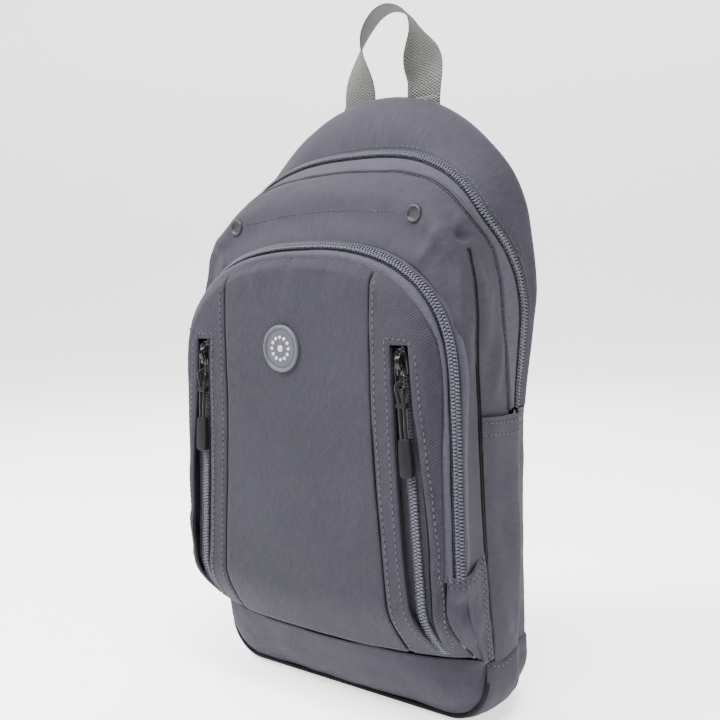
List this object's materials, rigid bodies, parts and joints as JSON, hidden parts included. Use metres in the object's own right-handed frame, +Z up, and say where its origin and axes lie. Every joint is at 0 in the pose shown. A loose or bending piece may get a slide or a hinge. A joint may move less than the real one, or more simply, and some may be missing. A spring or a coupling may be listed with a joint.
{
  "type": "sling bag",
  "caption": "One-strap sling bag with a domed main compartment, a hinged zipped front pocket with two upright zips, side slip pockets, a webbing grab handle and a padded strap.",
  "frame": {"origin": "centre of the base's underside, on the floor", "axes": "+Z up, -Y to the bag's front, +X to the right of someone facing the front"},
  "size_m": [0.2165, 0.1199, 0.4191],
  "materials": {
    "body_nylon": "plain-weave nylon, satin",
    "pocket_twill": "fine twill",
    "base_twill": "fine twill",
    "seam_cord": "bound seam",
    "air_mesh": "spacer mesh",
    "foam": "open-cell foam",
    "board": "stiffener board",
    "lining": "plain lining",
    "zip_tape": "woven tape",
    "zip_coil": "nylon coil",
    "snap_metal": "painted",
    "badge_rubber": "moulded",
    "webbing": "ribbed webbing",
    "black_acetal": "satin moulded",
    "slider_black": "gloss black",
    "pull_black": "cord and moulded tip"
  },
  "bodies": {
    "bag": {"back_panel": "air_mesh", "back_foam": "foam", "back_pads": "air_mesh", "rear_gusset": "body_nylon", "front_gusset": "body_nylon", "main_front_panel": "body_nylon", "side_panel_right": "body_nylon", "side_panel_left": "body_nylon", "slip_pocket_right": "body_nylon", "slip_pocket_left": "body_nylon", "base_boot": "base_twill", "base_band": "base_twill", "base_board": "board", "base_piping": "seam_cord", "pocket_floor": "lining", "divider_sleeve": "lining", "main_zip_tape_rear": "zip_tape", "main_zip_tape_front": "zip_tape", "main_zip_coil": "zip_coil", "main_edge_fold": "body_nylon", "pocket_zip_tape_bag": "zip_tape", "pocket_zip_coil_bag": "zip_coil", "gusset_corner_right": "body_nylon", "gusset_corner_left": "body_nylon", "rivet_right": "snap_metal", "rivet_left": "snap_metal", "handle_anchors": "webbing", "strap_anchor_top": "body_nylon", "strap_pad": "base_twill", "ladder_lock": "black_acetal", "buckle_socket": "black_acetal", "anchor_webbing": "webbing"},
    "pocket_door": {"pocket_zip_tape_door": "zip_tape", "pocket_zip_coil_door": "zip_coil", "door_centre_panel": "pocket_twill", "door_side_panel_right": "pocket_twill", "door_side_panel_left": "pocket_twill", "door_lining": "lining", "zip_pocket_bags": "lining", "side_zip_tapes": "zip_tape", "side_zip_coils": "zip_coil", "badge_base": "badge_rubber", "badge_ring": "badge_rubber"},
    "handle": {"handle_loop": "webbing"},
    "strap_end": {"strap_webbing": "webbing", "buckle_plug": "black_acetal"},
    "keeper": {"strap_keeper": "black_acetal"},
    "slider_front_right": {"slider_front_right": "slider_black"},
    "tab_front_right": {"tab_front_right": "slider_black"},
    "pull_front_right": {"pull_front_right": "pull_black"},
    "slider_front_left": {"slider_front_left": "slider_black"},
    "tab_front_left": {"tab_front_left": "slider_black"},
    "pull_front_left": {"pull_front_left": "pull_black"},
    "slider_main": {"slider_main": "slider_black"},
    "tab_main": {"tab_main": "slider_black"},
    "pull_main": {"pull_main": "pull_black"},
    "slider_pocket": {"slider_pocket": "slider_black"},
    "tab_pocket": {"tab_pocket": "slider_black"},
    "pull_pocket": {"pull_pocket": "pull_black"}
  },
  "joints": [
    {"name": "pocket_door_hinge", "type": "hinge", "parent": "bag", "child": "pocket_door", "pos_m": [0, -0.057, 0.042], "axis": [1, 0, 0], "range_deg": [0, 60]},
    {"name": "handle_hinge", "type": "hinge", "parent": "bag", "child": "handle", "pos_m": [0, 0.029, 0.357], "axis": [1, 0, 0], "range_deg": [-55, 30]},
    {"name": "buckle_release", "type": "slide", "parent": "bag", "child": "strap_end", "axis": [0.2233, 0, 0.9748], "range_m": [0, 0.019]},
    {"name": "keeper_slide", "type": "slide", "parent": "bag", "child": "keeper", "axis": [-0.2233, 0, -0.9748], "range_m": [-0.03, 0.03]},
    {"name": "slider_front_right_travel", "type": "slide", "parent": "pocket_door", "child": "slider_front_right", "axis": [0.0669, 0, -0.9978], "range_m": [0, 0.118]},
    {"name": "tab_front_right_swing", "type": "hinge", "parent": "slider_front_right", "child": "tab_front_right", "pos_m": [0.07562, -0.06765, 0.20682], "axis": [-0.9978, 0, -0.0669], "range_deg": [0, 120]},
    {"name": "pull_front_right_swing", "type": "hinge", "parent": "tab_front_right", "child": "pull_front_right", "pos_m": [0.07646, -0.06765, 0.19425], "axis": [-0.9978, 0, -0.0669], "range_deg": [0, 55]},
    {"name": "slider_front_left_travel", "type": "slide", "parent": "pocket_door", "child": "slider_front_left", "axis": [-0.0669, 0, -0.9978], "range_m": [0, 0.118]},
    {"name": "tab_front_left_swing", "type": "hinge", "parent": "slider_front_left", "child": "tab_front_left", "pos_m": [-0.07562, -0.06765, 0.20682], "axis": [-0.9978, 0, 0.0669], "range_deg": [0, 120]},
    {"name": "pull_front_left_swing", "type": "hinge", "parent": "tab_front_left", "child": "pull_front_left", "pos_m": [-0.07646, -0.06765, 0.19425], "axis": [-0.9978, 0, 0.0669], "range_deg": [0, 55]},
    {"name": "slider_main_travel", "type": "slide", "parent": "bag", "child": "slider_main", "axis": [0, 0, 1], "range_m": [0, 0.027]},
    {"name": "tab_main_swing", "type": "hinge", "parent": "slider_main", "child": "tab_main", "pos_m": [-0.10845, 0.01, 0.1888], "axis": [0, 1, 0], "range_deg": [0, 120]},
    {"name": "pull_main_swing", "type": "hinge", "parent": "tab_main", "child": "pull_main", "pos_m": [-0.10845, 0.01, 0.1762], "axis": [0, 1, 0], "range_deg": [0, 55]},
    {"name": "slider_pocket_travel", "type": "slide", "parent": "bag", "child": "slider_pocket", "axis": [0, 0, 1], "range_m": [0, 0.073]},
    {"name": "tab_pocket_swing", "type": "hinge", "parent": "slider_pocket", "child": "tab_pocket", "pos_m": [-0.10635, -0.047, 0.1108], "axis": [0, 1, 0], "range_deg": [0, 120]},
    {"name": "pull_pocket_swing", "type": "hinge", "parent": "tab_pocket", "child": "pull_pocket", "pos_m": [-0.10635, -0.047, 0.0982], "axis": [0, 1, 0], "range_deg": [0, 55]}
  ]
}
